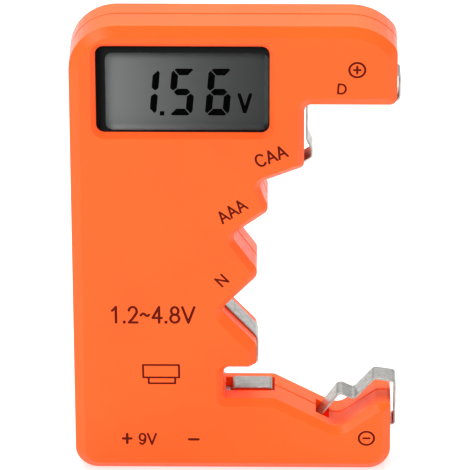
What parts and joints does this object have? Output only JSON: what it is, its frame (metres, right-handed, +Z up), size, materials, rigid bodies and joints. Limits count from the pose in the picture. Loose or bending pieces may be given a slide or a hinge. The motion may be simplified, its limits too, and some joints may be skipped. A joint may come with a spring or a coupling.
{
  "type": "battery tester",
  "caption": "Flat pocket battery tester: stepped jaws with sprung contact strips for cells of several sizes, a button cell slot, 9 V contacts in the base and a small digital display.",
  "frame": {"origin": "centre of the bounding box at the lower edge that the case stands on", "axes": "+Z up the case's long side, front face with the display towards -Y, jaws open towards +X"},
  "size_m": [0.062, 0.012, 0.095],
  "materials": {
    "shell_plastic": "glossy moulded orange ABS",
    "bezel_plastic": "satin black",
    "clear_window": "clear acrylic",
    "polariser": "dull grey film with dark segments",
    "display_glass": "thin float glass",
    "reflector_film": "satin",
    "foam": "closed-cell foam",
    "elastic_connector": "silicone with carbon layers",
    "board": "green solder mask",
    "potting": "black epoxy",
    "chip_plastic": "moulded epoxy",
    "ferrite": "dull ferrite",
    "tantalum": "moulded",
    "capacitor_ceramic": "fired ceramic",
    "solder": "bright solder",
    "nickel_strip": "nickel-plated spring strip",
    "red_sleeve": "PVC sleeve",
    "black_sleeve": "PVC sleeve",
    "screw_steel": "zinc-plated",
    "ink": "pad-printed dark red ink",
    "display_segments": "dark liquid crystal segments"
  },
  "bodies": {
    "case": {"front_shell": "shell_plastic", "rear_shell": "shell_plastic", "display_bezel": "bezel_plastic", "display_window": "clear_window", "lcd_front_polariser": "polariser", "lcd_front_glass": "display_glass", "lcd_rear_glass": "display_glass", "lcd_reflector": "reflector_film", "lcd_foam_pad": "foam", "zebra_strip": "elastic_connector", "circuit_board": "board", "controller_chip": "potting", "boost_chip": "chip_plastic", "boost_inductor": "ferrite", "boost_diode": "chip_plastic", "reservoir_capacitor": "tantalum", "chip_resistors": "chip_plastic", "chip_capacitors": "capacitor_ceramic", "solder_joints": "solder", "bay_strip": "nickel_strip", "aaa_strip": "nickel_strip", "n_strip": "nickel_strip", "snap_contact_positive": "nickel_strip", "snap_contact_negative": "nickel_strip", "bay_wire": "red_sleeve", "aaa_wire": "red_sleeve", "n_wire": "red_sleeve", "negative_wire": "black_sleeve", "button_wire": "black_sleeve", "snap_wire_positive": "red_sleeve", "snap_wire_negative": "black_sleeve", "board_screws": "screw_steel", "case_screws": "screw_steel"},
    "negative_contact": {"negative_contact": "nickel_strip"},
    "button_contact": {"button_contact": "nickel_strip"}
  },
  "joints": [
    {"name": "negative_contact_flex", "type": "hinge", "parent": "case", "child": "negative_contact", "pos_m": [0.0159, 0.0001, 0.0072], "axis": [0, 1, 0], "range_deg": [0, 5], "stiffness_Nm_per_rad": 0.09, "springref_deg": -2.29},
    {"name": "button_contact_press", "type": "slide", "parent": "case", "child": "button_contact", "axis": [0, 0, -1], "range_m": [0, 0.0004], "stiffness_N_per_m": 600, "springref_m": -0.0004}
  ]
}
